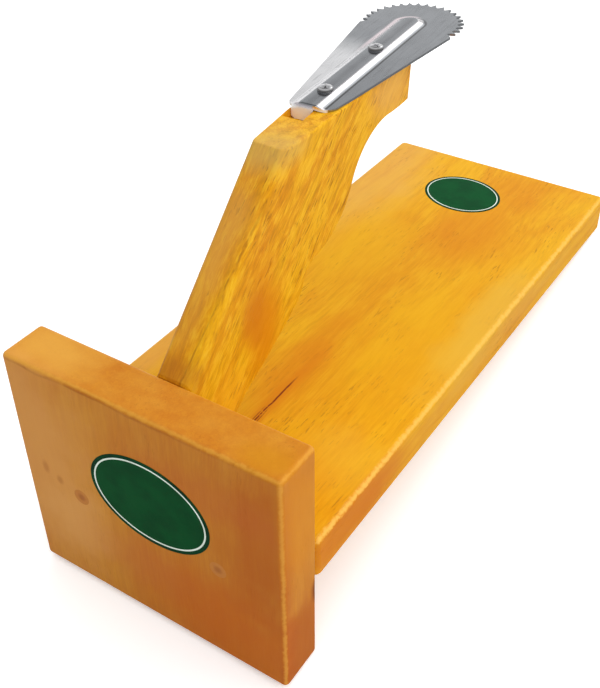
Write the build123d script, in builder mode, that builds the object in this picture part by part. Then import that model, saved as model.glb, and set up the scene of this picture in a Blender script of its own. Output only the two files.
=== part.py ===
"""A wooden coconut scraper that hooks over a counter's front edge.

The plank lies on the counter, and the stop board hangs down in front of it. A neck rises out of
the corner between the two and leans back over the plank. A toothed steel blade is screwed on
top of it, and half a coconut is turned against the blade's round head.

Millimetres. X runs across the plank. Y runs along it, away from the user. Z is up. The origin is
the inside corner of the hook, in the middle of the width: Z = 0 is the counter's top and Y = 0
is the counter's front edge.
"""

import os
from math import atan2, cos, radians, sin, tan

from build123d import *

# Boards
width = 150.0
plank_length = 351.0
plank_thickness = 22.0
plank_corner = 3.5
plank_arris = 3.0
stop_thickness = 25.5
stop_height = 133.5
stop_arris = 2.5
hook_depth = 53.0

# Neck: a sawn profile, whose sides are dressed narrower towards the front face
neck_left = -10.2
neck_right = 12.1
front_left = -7.0
front_right = 11.6
dressed_depth = 24.0
front_arris = 3.5
neck_arris = 1.2
rear_arris = 0.8
foot_depth = 14.0
front_corner_y = 75.5
tip_bottom = (184.8, 139.4)
tip_top_y = 186.6
# the rear outline's arcs meet without a corner at these points
rear_heading = 67.1
rear_points = [
    (44.3, 53.8),
    (80.5, 74.8),
    (87.4, 83.9),
    (98.2, 92.6),
    (131.0, 117.0),
    (166.2, 138.7),
    tip_bottom,
]

# The seat on the neck's top rises a little towards the tip
seat_pitch = 1.5
seat_height = 160.1
seat_reference_y = 150.0

# Blade: a round toothed head that tapers to a narrow tail, measured along its own axis
sheet = 1.2
head_x = -7.2
head_y = 222.4
blade_yaw = 3.15
head_radius = 26.5
side_taper = 8.1
tail_length = 110.5
tail_right_corner = 8.0
tail_left_corner = 4.0

# Teeth: angles are from the blade's axis, positive to the right
tooth_count = 22
first_tooth = -114.9
tooth_pitch = 10.75
tooth_depth = 3.2
gullet_shoulder = 2.3
gullet_share = 0.5

# The stiffening rib pressed up in the blade, open at the tail
rib_x = -0.3
rib_height = 1.6
rib_base = 8.0
rib_crown = 4.3
rib_end = 5.6
rib_bend = 3.0

# The lip turned down at the tail
lip_bend = 1.0
lip_drop = 5.0
lip_left = -8.3
lip_right = 2.6
lip_foot_left = -6.8
lip_left_chamfer = 1.2
lip_foot_right = -1.6

# The pocket that is cut in the seat for the lip
pocket_clearance = 0.3
pocket_ramp = 9.0

# Screws through the blade
blade_screw_places = (-94.2, -42.7)
blade_screw_turns = (25, 60)
blade_hole = 4.6
pan_head = 7.8
pan_head_height = 2.1
pan_head_rim = 0.6
pan_head_crown = 4.8
pan_shank = 4.0
pan_length = 17.0
recess_width = 1.1
recess_span = 4.2
recess_depth = 1.2

# Screws through the stop board
wood_screw_head = 9.0
wood_screw_shank = 4.5
wood_screw_length = 40.0
wood_screw_sink = 2.0
screw_point = 3.0
screw_point_end = 0.8
plank_screw_spacing = 80.0
plank_screw_height = 8.0
neck_screw_heights = (33.0, 47.0)

stop_top = stop_height - hook_depth
seat_slope = tan(radians(seat_pitch))
front_corner_z = seat_height + seat_slope * (front_corner_y - seat_reference_y)
rib_centre = rib_end - rib_base
pocket_back = -tail_length + lip_bend + pocket_clearance


def seat_z(y):
    """Height of the neck's top at a place along the plank."""
    return seat_height + seat_slope * (y - seat_reference_y)


# ---------------------------------------------------------------- screws through the stop board

stop_front = Plane(origin=(0, -stop_thickness, 0), x_dir=(1, 0, 0), z_dir=(0, -1, 0))
half_spacing = plank_screw_spacing / 2
plank_screw_points = [(-half_spacing, plank_screw_height), (half_spacing, plank_screw_height)]
neck_middle = (neck_left + neck_right) / 2
neck_screw_points = [(neck_middle, height) for height in neck_screw_heights]


def wood_screws(points):
    """Countersunk wood screws, sunk below the stop board's front face."""
    head = wood_screw_head / 2
    shank = wood_screw_shank / 2
    with BuildPart() as screws:
        for x, z in points:
            start = (x, -stop_thickness + wood_screw_sink, z)
            with BuildSketch(Plane(origin=start, x_dir=(1, 0, 0), z_dir=(0, 0, 1))):
                with BuildLine():
                    Polyline(
                        (0, 0),
                        (head, 0),
                        (shank, head - shank),
                        (shank, wood_screw_length - screw_point),
                        (screw_point_end, wood_screw_length),
                        (0, wood_screw_length),
                        close=True,
                    )
                make_face()
            revolve(axis=Axis(start, (0, 1, 0)))
    return screws


def fillers(points):
    """Round plugs of wood filler over sunk screw heads, flush with the stop board."""
    with BuildPart() as plugs:
        with BuildSketch(stop_front):
            with Locations(points):
                Circle(wood_screw_head / 2)
        extrude(amount=-wood_screw_sink)
    return plugs


def drilled(points):
    """Straight holes for those screws, from the stop board's front face."""
    with BuildPart() as holes:
        with BuildSketch(stop_front):
            with Locations(points):
                Circle(wood_screw_shank / 2)
        extrude(amount=-wood_screw_sink - wood_screw_length)
    return holes


plank_screws = wood_screws(plank_screw_points)
plank_screw_fillers = fillers(plank_screw_points)
neck_screws = wood_screws(neck_screw_points)
neck_screw_fillers = fillers(neck_screw_points)

# ---------------------------------------------------------------- boards

with BuildPart() as base_plank:
    with BuildSketch():
        with Locations((0, plank_length / 2)):
            RectangleRounded(width, plank_length, plank_corner)
    extrude(amount=plank_thickness)
    fillet(base_plank.faces().sort_by(Axis.Z)[-1].edges(), plank_arris)
    add(drilled(plank_screw_points).part, mode=Mode.SUBTRACT)

with BuildPart() as stop_board:
    with BuildSketch(Plane.XY.offset(-hook_depth)):
        with Locations((0, -stop_thickness / 2)):
            Rectangle(width, stop_thickness)
    extrude(amount=stop_height)
    fillet(stop_board.edges(), stop_arris)
    for hidden in (plank_screws, plank_screw_fillers, neck_screws, neck_screw_fillers):
        add(hidden.part, mode=Mode.SUBTRACT)

# ---------------------------------------------------------------- blade

# The blade's own frame: X across, Y along its axis towards the head, Z off the seat
yaw_sin = sin(radians(blade_yaw))
yaw_cos = cos(radians(blade_yaw))
blade_plane = Plane(
    origin=(head_x, head_y, seat_z(head_y)),
    x_dir=(yaw_cos, yaw_sin, yaw_sin * seat_slope),
    z_dir=(0, -seat_slope, 1),
)
along_blade = Plane(
    origin=blade_plane.origin,
    x_dir=blade_plane.y_dir,
    z_dir=blade_plane.x_dir,
)
blade_top = sheet + rib_height


def rim_point(angle, inset=0.0):
    """A point of the blank's rim: the head's circle, then the straight sides that touch it."""
    past_circle = max(0.0, abs(angle) - 90.0 - side_taper)
    radius = head_radius / cos(radians(past_circle)) - inset
    return (radius * sin(radians(angle)), radius * cos(radians(angle)))


def side_width(along):
    """Half of the blade's width on its straight sides."""
    return (head_radius + along * sin(radians(side_taper))) / cos(radians(side_taper))


def across_blade(along, level=0.0):
    """The upright plane across the blade's axis, at a distance along it and a height."""
    return Plane(
        origin=blade_plane.from_local_coords(Vector(0, along, level)),
        x_dir=blade_plane.x_dir,
        z_dir=-blade_plane.y_dir,
    )


def height_over_seat(edge):
    """How high an edge's middle is over the seat."""
    return blade_plane.to_local_coords(edge.center()).Z


def pressed_surface(level):
    """Everything under a face that carries the rib and turns down over the tail."""
    far = 2 * tail_length
    upwards = Axis(blade_plane.origin, blade_plane.z_dir)
    with BuildPart() as form:
        with BuildSketch(blade_plane.offset(level)):
            with Locations((0, -tail_length)):
                Rectangle(far, 2 * far)
        extrude(amount=-4 * lip_drop)
        with BuildSketch(blade_plane.offset(level)):
            with Locations((rib_x, rib_centre - far / 2)):
                SlotCenterToCenter(far, 2 * rib_base, rotation=90)
        with BuildSketch(blade_plane.offset(level + rib_height)):
            with Locations((rib_x, rib_centre - far / 2)):
                SlotCenterToCenter(far, 2 * rib_crown, rotation=90)
        loft(ruled=True)
        faces = form.faces().sort_by(upwards)
        fillet(faces[-1].edges(), rib_bend)
        holed = [face for face in form.faces() if face.inner_wires()]
        fillet(holed[0].inner_wires()[0].edges(), rib_bend)
        tail = across_blade(-tail_length - level)
        split(bisect_by=tail, keep=Keep.BOTTOM)
        tail_edges = form.faces().sort_by(Axis(tail.origin, tail.z_dir))[-1].edges()
        fillet([edge for edge in tail_edges if height_over_seat(edge) > -lip_bend], lip_bend + level)
    return form.part


with BuildPart() as scraper_blade:
    with BuildSketch(blade_plane):
        with BuildLine():
            for tooth in range(tooth_count - 1):
                tip = first_tooth + tooth * tooth_pitch
                gullet = tip + tooth_pitch / 2
                spread = gullet_share * tooth_pitch / 2
                gullet_start = rim_point(gullet - spread, gullet_shoulder)
                gullet_end = rim_point(gullet + spread, gullet_shoulder)
                Line(rim_point(tip), gullet_start)
                ThreePointArc(gullet_start, rim_point(gullet, tooth_depth), gullet_end)
                Line(gullet_end, rim_point(tip + tooth_pitch))
            last_tooth = first_tooth + (tooth_count - 1) * tooth_pitch
            tail_half = side_width(-tail_length)
            FilletPolyline(
                rim_point(last_tooth),
                (tail_half, -tail_length),
                (0, -tail_length),
                radius=tail_right_corner,
            )
            FilletPolyline(
                (0, -tail_length),
                (-tail_half, -tail_length),
                rim_point(first_tooth),
                radius=tail_left_corner,
            )
        make_face()
    extrude(amount=blade_top)
    # the lip hangs from the tail's edge
    with BuildSketch(across_blade(-tail_length + lip_bend)):
        with BuildLine():
            Polyline(
                (lip_left, blade_top),
                (lip_left, -lip_drop + lip_left_chamfer),
                (lip_foot_left, -lip_drop),
                (lip_foot_right, -lip_drop),
                (lip_right, 0),
                (lip_right, blade_top),
                close=True,
            )
        make_face()
    extrude(amount=lip_bend + sheet)
    add(pressed_surface(0), mode=Mode.SUBTRACT)
    add(pressed_surface(sheet), mode=Mode.INTERSECT)
    with BuildSketch(blade_plane):
        with Locations(*[(0, place) for place in blade_screw_places]):
            Circle(blade_hole / 2)
    extrude(amount=blade_top, mode=Mode.SUBTRACT)


def blade_screws_at(places):
    """Pan head wood screws with cross recesses, standing on the rib's crown."""
    head = pan_head / 2
    shank = pan_shank / 2
    bevel = (pan_head_height - pan_head_rim) / 3
    with BuildPart() as screws:
        for place, turn in places:
            section = across_blade(place, blade_top)
            with BuildSketch(section):
                with BuildLine():
                    Polyline(
                        (0, pan_head_height),
                        (pan_head_crown / 2, pan_head_height),
                        (head - bevel, pan_head_height - bevel),
                        (head, pan_head_rim),
                        (head, 0),
                        (shank, 0),
                        (shank, screw_point - pan_length),
                        (screw_point_end, -pan_length),
                        (0, -pan_length),
                        close=True,
                    )
                make_face()
            revolve(axis=Axis(section.origin, blade_plane.z_dir))
            with BuildSketch(blade_plane.offset(blade_top + pan_head_height)):
                with Locations((0, place)):
                    Rectangle(recess_span, recess_width, rotation=turn)
                    Rectangle(recess_span, recess_width, rotation=turn + 90)
            extrude(amount=-recess_depth, taper=12, mode=Mode.SUBTRACT)
    return screws


blade_screws = blade_screws_at(zip(blade_screw_places, blade_screw_turns))

# ---------------------------------------------------------------- neck

front_rise = front_corner_z - stop_top
front_angle = atan2(front_rise, front_corner_y)
# looks along the front face: X across the neck, Y into its depth
lean_plane = Plane(
    origin=(0, 0, stop_top),
    x_dir=(1, 0, 0),
    z_dir=(0, cos(front_angle), sin(front_angle)),
)

with BuildPart() as neck:
    with BuildSketch(Plane.YZ.offset(2 * neck_left)):
        with BuildLine():
            Polyline(
                tip_bottom,
                (tip_top_y, seat_z(tip_top_y)),
                (front_corner_y, front_corner_z),
                (0, stop_top),
                (0, plank_thickness),
                (foot_depth, plank_thickness),
            )
            start = (foot_depth, plank_thickness)
            heading = Vector(cos(radians(rear_heading)), sin(radians(rear_heading)))
            for point in rear_points:
                curve = TangentArc(start, point, tangent=heading)
                heading = curve % 1
                start = point
        make_face()
    extrude(amount=4 * neck_right)
    with BuildSketch(lean_plane) as section:
        with BuildLine():
            Polyline(
                (front_left, 0),
                (front_right, 0),
                (neck_right, dressed_depth),
                (neck_right, stop_height),
                (neck_left, stop_height),
                (neck_left, dressed_depth),
                close=True,
            )
        make_face()
        fillet(section.vertices().group_by(Axis.Y)[0], front_arris)
    extrude(amount=2 * stop_height, both=True, mode=Mode.INTERSECT)
    seat = neck.faces().filter_by(GeomType.PLANE).sort_by(Axis.Z)[-1]
    tip_end = neck.faces().filter_by(GeomType.PLANE).sort_by(Axis.Y)[-1]
    fillet(seat.edges() + tip_end.edges(), neck_arris)
    curved = neck.faces().filter_by(GeomType.CYLINDER).sort_by(SortBy.AREA)[-len(rear_points) :]
    chamfer([edge for edge in curved.edges() if abs(edge.center().X) > 0.4 * neck_right], rear_arris)
    # the pocket for the blade's lip runs out towards the front
    with BuildSketch(along_blade.offset(lip_left - pocket_clearance)):
        with BuildLine():
            Polyline(
                (pocket_back, neck_arris),
                (pocket_back, -lip_drop - pocket_clearance),
                (-tail_length - sheet - pocket_clearance, -lip_drop - pocket_clearance),
                (-tail_length - sheet - pocket_ramp, 0),
                (-tail_length - sheet - pocket_ramp, neck_arris),
                close=True,
            )
        make_face()
    extrude(amount=lip_right - lip_left + 2 * pocket_clearance, mode=Mode.SUBTRACT)
    add(drilled(neck_screw_points).part, mode=Mode.SUBTRACT)
    with BuildSketch(blade_plane.offset(blade_top)):
        with Locations(*[(0, place) for place in blade_screw_places]):
            Circle(pan_shank / 2)
    extrude(amount=-pan_length, mode=Mode.SUBTRACT)

pieces = {
    "base_plank": base_plank,
    "stop_board": stop_board,
    "neck": neck,
    "scraper_blade": scraper_blade,
    "blade_screws": blade_screws,
    "plank_screws": plank_screws,
    "plank_screw_fillers": plank_screw_fillers,
    "neck_screws": neck_screws,
    "neck_screw_fillers": neck_screw_fillers,
}
os.makedirs("parts", exist_ok=True)
for name, piece in pieces.items():
    piece.part.label = name
    export_step(piece.part, f"parts/{name}.step")
    print(name, len(piece.part.solids()), round(piece.part.volume, 1))
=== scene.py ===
"""Finishes, small fittings, labels and stage of a hooked coconut scraper, built around its frame.

Metres. X runs across the plank, Y along it and away from the user, and Z is up. The origin is
the inside corner of the hook: Z = 0 is the counter's top and Y = 0 is the counter's front edge.
"""

import math

import bmesh
import bpy
from bpy.props import FloatProperty, FloatVectorProperty, IntProperty, PointerProperty
from mathutils import Matrix, Vector


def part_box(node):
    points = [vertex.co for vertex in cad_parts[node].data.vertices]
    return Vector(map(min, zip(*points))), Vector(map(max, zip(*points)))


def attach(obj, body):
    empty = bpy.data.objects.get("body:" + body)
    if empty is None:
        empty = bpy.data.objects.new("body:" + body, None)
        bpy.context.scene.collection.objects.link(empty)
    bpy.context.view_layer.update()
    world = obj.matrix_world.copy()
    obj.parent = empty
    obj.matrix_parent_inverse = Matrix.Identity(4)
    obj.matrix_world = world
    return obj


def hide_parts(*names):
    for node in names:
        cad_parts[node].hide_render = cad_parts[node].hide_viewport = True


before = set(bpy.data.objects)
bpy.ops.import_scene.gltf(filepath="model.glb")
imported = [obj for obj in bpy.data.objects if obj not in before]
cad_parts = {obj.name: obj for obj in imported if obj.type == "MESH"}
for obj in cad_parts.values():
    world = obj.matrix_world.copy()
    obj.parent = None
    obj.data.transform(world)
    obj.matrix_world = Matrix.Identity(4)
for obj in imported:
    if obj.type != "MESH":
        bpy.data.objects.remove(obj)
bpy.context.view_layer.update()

bl_info = {
    "name": "Coconut scraper finishes",
    "version": (1, 0, 0),
    "blender": (4, 5, 0),
    "location": "3D View > Sidebar > Scraper",
    "description": "Finishes, screws, labels and stage for a hooked coconut scraper",
    "category": "Object",
}

BODY = "root"
MM = 0.001
PER_MM = (1000.0, 1000.0, 1000.0)
WHITE = (1.0, 1.0, 1.0, 1.0)

STOP_LOW, STOP_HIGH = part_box("stop_board")
PLANK_LOW, PLANK_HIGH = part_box("base_plank")

# The neck's front face leans back between these two heights
NECK_FOOT = Vector((0.0, 0.0, STOP_HIGH.z))
NECK_SHOULDER = Vector((0.0, 0.0755, 0.15815))

# The blade's own frame: across, along its axis towards the head, and off the seat
BLADE_YAW = math.radians(3.15)
BLADE_PITCH = math.radians(1.5)
BLADE_HEAD = Vector((-0.0072, 0.2224, 0.1601 + 0.0724 * math.tan(BLADE_PITCH)))
BLADE_ALONG = Vector((-math.sin(BLADE_YAW), math.cos(BLADE_YAW), 0.0))
BLADE_ALONG.z = BLADE_ALONG.y * math.tan(BLADE_PITCH)
BLADE_ALONG.normalize()
BLADE_UP = Vector((0.0, -math.sin(BLADE_PITCH), math.cos(BLADE_PITCH)))
BLADE_ACROSS = BLADE_ALONG.cross(BLADE_UP)
BLADE_CROWN = 2.8 * MM
RIB_ASIDE = -0.3 * MM

# How far each blade screw is from the head's centre, and the turn of its recess in degrees
SCREW_PLACES = ((-94.2 * MM, 25.0), (-42.7 * MM, 60.0))

# Cards of the studio that shiny surfaces mirror: azimuth from +Y towards +X, elevation, the
# angles at which a card starts and is full, and how much it adds
REFLECTION_CARDS = (
    (0.0, 37.0, 17.0, 9.0, 1.1),
    (-33.0, 45.0, 22.0, 10.0, -0.42),
    (-33.0, 24.0, 20.0, 8.0, 0.35),
)


def srgb(red, green, blue):
    """A linear colour from 8-bit screen values."""

    def linear(value):
        share = value / 255
        if share <= 0.04045:
            return share / 12.92
        return ((share + 0.055) / 1.055) ** 2.4

    return (linear(red), linear(green), linear(blue))


def colour_property(name, description, red, green, blue):
    """A colour a user may change, with its default in screen values."""
    return FloatVectorProperty(
        name=name,
        description=description,
        subtype="COLOR",
        size=3,
        min=0.0,
        max=1.0,
        default=srgb(red, green, blue),
    )


def length_property(name, description, millimetres):
    """A length a user may change, with its default in millimetres."""
    return FloatProperty(
        name=name,
        description=description,
        unit="LENGTH",
        min=0.0,
        default=millimetres * MM,
    )


def amount_property(name, description, default):
    """A strength or weight a user may change."""
    return FloatProperty(name=name, description=description, min=0.0, default=default)


def share_property(name, description, default):
    """A share from 0 to 1."""
    return FloatProperty(
        name=name,
        description=description,
        subtype="FACTOR",
        min=0.0,
        max=1.0,
        default=default,
    )


def angle_property(name, description, degrees):
    """An angle a user may change, with its default in degrees."""
    return FloatProperty(
        name=name,
        description=description,
        subtype="ANGLE",
        default=math.radians(degrees),
    )


def direction_property(name, description, *default):
    """A direction in the frame."""
    return FloatVectorProperty(
        name=name,
        description=description,
        subtype="DIRECTION",
        size=3,
        default=default,
    )


def place_property(name, description, x, y, z):
    """A place in the frame, with its default in millimetres."""
    return FloatVectorProperty(
        name=name,
        description=description,
        subtype="TRANSLATION",
        unit="LENGTH",
        size=3,
        default=(x * MM, y * MM, z * MM),
    )


# ---------------------------------------------------------------- what a user may change


class ScraperFinishes(bpy.types.PropertyGroup):
    """Colours and gloss of the wood and the metal."""

    yellow: colour_property("Yellow wood", "Palest wood of the plank and neck", 230, 168, 8)
    orange: colour_property("Orange wood", "Deeper wood of the plank and neck", 214, 126, 0)
    honey: colour_property("Honey wood", "Palest wood of the stop board", 206, 136, 40)
    ochre: colour_property("Ochre wood", "Deeper wood of the stop board", 190, 102, 8)
    # A paler wood colour, also used as a painted reflection washed over the far left of the plank's
    # top
    tan: colour_property("Tan wood", "Wood that has lost some of its colour", 222, 168, 84)
    gold: colour_property("Gold figure", "Bright streaks in the grain", 246, 196, 44)
    brown: colour_property("Brown grain", "Pores and dark grain lines", 148, 84, 10)
    crack: colour_property("Crack", "The dark line in the plank's grain", 128, 44, 4)
    putty: colour_property("Filler", "Wood filler over the sunk screws", 196, 120, 40)
    blade: colour_property("Blade steel", "Rolled steel of the blade", 250, 250, 252)
    # Painted dark reflection: the darker steel laid on the rib's crown, the head and the right flat
    worn_blade: colour_property("Worn steel", "Duller steel of the rib and head", 164, 167, 171)
    # Painted shade: the dark colour laid in the blade's fold round the rib and round the sides and
    # recesses of the screw heads
    grime: colour_property("Grime", "Dirt that settles in creases of the metal", 66, 64, 62)
    screw: colour_property("Screw steel", "Plated steel of the screws", 232, 232, 234)
    varnish: share_property("Varnish", "Weight of the clear varnish over the wood", 0.12)


class ScraperScrews(bpy.types.PropertyGroup):
    """Sizes of the two pan head screws in the blade."""

    head_radius: length_property("Head radius", "Radius of the pan head", 3.9)
    head_height: length_property("Head height", "Height of the pan head", 2.1)
    shank_radius: length_property("Shank radius", "Radius of the shank", 1.95)
    shank_length: length_property("Shank length", "Length under the head", 16.8)
    recess_span: length_property("Recess span", "Length of the cross recess's arms", 4.3)
    recess_width: length_property("Recess width", "Width of the cross recess's arms", 1.0)
    recess_depth: length_property("Recess depth", "Depth of the cross recess", 1.2)


class ScraperLabels(bpy.types.PropertyGroup):
    """The two plain oval labels."""

    green: colour_property("Green", "Printed green of the labels", 0, 78, 36)
    rim: colour_property("Rim", "Dark rim of the labels", 0, 66, 34)
    ring: colour_property("Ring", "Thin ring inside the rim", 238, 248, 238)
    thickness: length_property("Thickness", "Thickness of the film", 0.16)
    rim_width: length_property("Rim width", "From the edge to the ring", 2.0)
    ring_width: length_property("Ring width", "Width of the thin ring", 0.9)
    front_centre: place_property("Front centre", "On the stop board", 3.5, -25.5, 28.2)
    front_half_width: length_property("Front half width", "Half of the oval's width", 33.7)
    front_half_height: length_property("Front half height", "Half of its height", 25.5)
    plank_centre: place_property("Plank centre", "On the plank", -4.9, 303.9, 22.0)
    plank_half_width: length_property("Plank half width", "Half of the oval's width", 25.8)
    plank_half_height: length_property("Plank half height", "Half of its height", 21.6)
    plank_turn: angle_property("Plank turn", "Turn of the label on the plank", -8.9)
    steps: IntProperty(name="Steps", description="Corners round each oval", min=24, default=128)


class ScraperStage(bpy.types.PropertyGroup):
    """Camera, lights and floor."""

    camera_place: place_property("Camera", "Where the camera stands", 231.1, -245.4, 359.6)
    camera_forward: direction_property(
        "Camera direction", "Where the camera looks", -0.43618957, 0.65467955, -0.61735997
    )
    camera_right: direction_property(
        "Camera right", "The picture's horizontal", 0.83653286, 0.54782359, -0.01010432
    )
    lens: FloatProperty(
        name="Lens",
        description="Focal length on a 36 mm sensor",
        subtype="DISTANCE_CAMERA",
        unit="CAMERA",
        default=53.27,
    )
    floor_size: length_property("Floor size", "Length and width of the floor", 6000.0)
    floor: colour_property("Floor", "Pale floor", 252, 252, 252)
    floor_mirrored: share_property(
        "Floor in gloss", "How bright the near floor is where gloss mirrors it", 0.3
    )
    floor_lift: amount_property("Floor lift", "Light that thins the shadow the camera sees", 0.28)
    ambient: amount_property("Ambient", "Light from all round", 0.2)
    overhead: amount_property("Overhead", "Extra light from above", 0.72)
    right_side: amount_property("Right side", "Extra light from the plank's right", 0.48)
    behind: amount_property("Behind", "Extra light from beyond the plank", 0.15)
    reflected: amount_property("Reflected", "Studio that gloss and steel mirror", 0.5)
    key: amount_property("Key", "Strength of the wide light overhead", 1.1)
    key_spread: angle_property(
        "Key spread", "Angle that the wide light fills, which softens its shadows", 80.0
    )
    key_direction: direction_property(
        "Key direction", "Where the wide light stands", 0.35, 0.25, 0.9
    )


# ---------------------------------------------------------------- shader nodes


class Wiring:
    """Adds nodes to one shader tree and links them."""

    def __init__(self, tree):
        self.tree = tree

    def node(self, kind, **settings):
        """A new node with its settings."""
        made = self.tree.nodes.new(kind)
        for setting, value in settings.items():
            setattr(made, setting, value)
        return made

    def put(self, socket, value):
        """Links an output to an input, or sets a plain value on it."""
        if isinstance(value, bpy.types.NodeSocket):
            self.tree.links.new(value, socket)
        elif isinstance(value, tuple) and len(value) == 3 and socket.type == "RGBA":
            socket.default_value = (*value, 1.0)
        else:
            socket.default_value = value

    def fed(self, kind, values, **settings):
        """A new node whose first inputs take the values."""
        made = self.node(kind, **settings)
        for socket, value in zip(made.inputs, values):
            self.put(socket, value)
        return made

    def math(self, operation, *values):
        """One arithmetic step."""
        return self.fed("ShaderNodeMath", values, operation=operation).outputs[0]

    def plus(self, first, second):
        """A sum."""
        return self.math("ADD", first, second)

    def minus(self, first, second):
        """A difference."""
        return self.math("SUBTRACT", first, second)

    def times(self, first, *others):
        """A product of two or more values."""
        for other in others:
            first = self.math("MULTIPLY", first, other)
        return first

    def over(self, first, second):
        """A quotient."""
        return self.math("DIVIDE", first, second)

    def larger(self, first, second):
        """The larger of two values."""
        return self.math("MAXIMUM", first, second)

    def smaller(self, first, second):
        """The smaller of two values."""
        return self.math("MINIMUM", first, second)

    def size(self, value):
        """A value without its sign."""
        return self.math("ABSOLUTE", value)

    def vector(self, operation, *values):
        """One vector step: a number for a length or a dot product, otherwise a vector."""
        made = self.fed("ShaderNodeVectorMath", values, operation=operation)
        number = operation in {"LENGTH", "DOT_PRODUCT"}
        return made.outputs["Value" if number else "Vector"]

    def offset(self, place, origin):
        """A place as seen from an origin."""
        return self.vector("SUBTRACT", place, origin)

    def stretch(self, place, factors):
        """A place scaled along each axis."""
        return self.vector("MULTIPLY", place, factors)

    def dot(self, first, second):
        """A dot product."""
        return self.vector("DOT_PRODUCT", first, second)

    def length(self, value):
        """A vector's length."""
        return self.vector("LENGTH", value)

    def split(self, value):
        """A vector's three parts."""
        return self.fed("ShaderNodeSeparateXYZ", (value,)).outputs

    def join(self, *parts):
        """A vector from its parts; a part that isn't given is zero."""
        return self.fed("ShaderNodeCombineXYZ", parts).outputs[0]

    def ramp(self, value, low, high, start=0.0, end=1.0):
        """A smooth step from one value to another."""
        values = (value, low, high, start, end)
        made = self.fed("ShaderNodeMapRange", values, interpolation_type="SMOOTHSTEP")
        return made.outputs[0]

    def band(self, value, middle, reach, full, strength=1.0):
        """A soft band round a value, which fades out at reach and is whole within full."""
        return self.ramp(self.size(self.minus(value, middle)), reach, full, 0.0, strength)

    def mix(self, factor, first, second):
        """Two colours mixed."""
        made = self.node("ShaderNodeMix", data_type="RGBA")
        self.put(made.inputs[0], factor)
        self.put(made.inputs[6], first)
        self.put(made.inputs[7], second)
        return made.outputs[2]

    def layered(self, colour, *layers):
        """A colour under layers, each with its mask and tint."""
        for mask, tint in layers:
            colour = self.mix(mask, colour, tint)
        return colour

    def noise(self, vector, scale, detail=2.0, roughness=0.5, distortion=0.0):
        """Soft noise from 0 to 1."""
        made = self.node("ShaderNodeTexNoise")
        labels = ("Vector", "Scale", "Detail", "Roughness", "Distortion")
        for label, value in zip(labels, (vector, scale, detail, roughness, distortion)):
            self.put(made.inputs[label], value)
        return made.outputs[0]

    def wander(self, place, scale, width):
        """Noise spread evenly about zero, for a line that isn't quite straight."""
        return self.times(self.minus(self.noise(place, scale, 3.0), 0.5), width)

    def group(self, tree, **values):
        """Places a node group and sets its inputs."""
        made = self.node("ShaderNodeGroup", node_tree=tree)
        for socket, value in values.items():
            self.put(made.inputs[socket.replace("_", " ").capitalize()], value)
        return made


def new_group(name, inputs, outputs):
    """An empty shader node group, its wiring, and its two ends."""
    tree = bpy.data.node_groups.new(name, "ShaderNodeTree")
    kinds = {"vector": "NodeSocketVector", "colour": "NodeSocketColor", "number": "NodeSocketFloat"}
    for direction, sockets in (("INPUT", inputs), ("OUTPUT", outputs)):
        for label, kind in sockets:
            tree.interface.new_socket(name=label, in_out=direction, socket_type=kinds[kind])
    wiring = Wiring(tree)
    start = wiring.node("NodeGroupInput")
    end = wiring.node("NodeGroupOutput")
    return tree, wiring, start.outputs, end.inputs


# How strongly a board shows the parts of its grain, how long its streaks are drawn (the smaller
# the stretch, the longer) and how fine they are
GRAIN_PARTS = ("blotches", "rings", "fibres", "figure", "stretch", "streaks", "pores")

# How far the grain bends sideways, in metres, and the settings of the growth rings' wave
GRAIN_SWAY = 0.01
RING_SETTINGS = {"Scale": 34.0, "Distortion": 5.0, "Detail": 3.0, "Detail Scale": 1.4}


def grain_frame_group():
    """Turns a place on the object into one whose X runs along the grain."""
    tree, wiring, given, result = new_group(
        "grain_frame",
        [("Place", "vector"), ("Along", "vector"), ("Across", "vector"), ("Heart", "vector")],
        [("Grain", "vector")],
    )
    third = wiring.vector("CROSS_PRODUCT", given["Along"], given["Across"])
    offset = wiring.offset(given["Place"], given["Heart"])
    axes = (given["Along"], given["Across"], third)
    wiring.put(result["Grain"], wiring.join(*(wiring.dot(offset, axis) for axis in axes)))
    return tree


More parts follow.
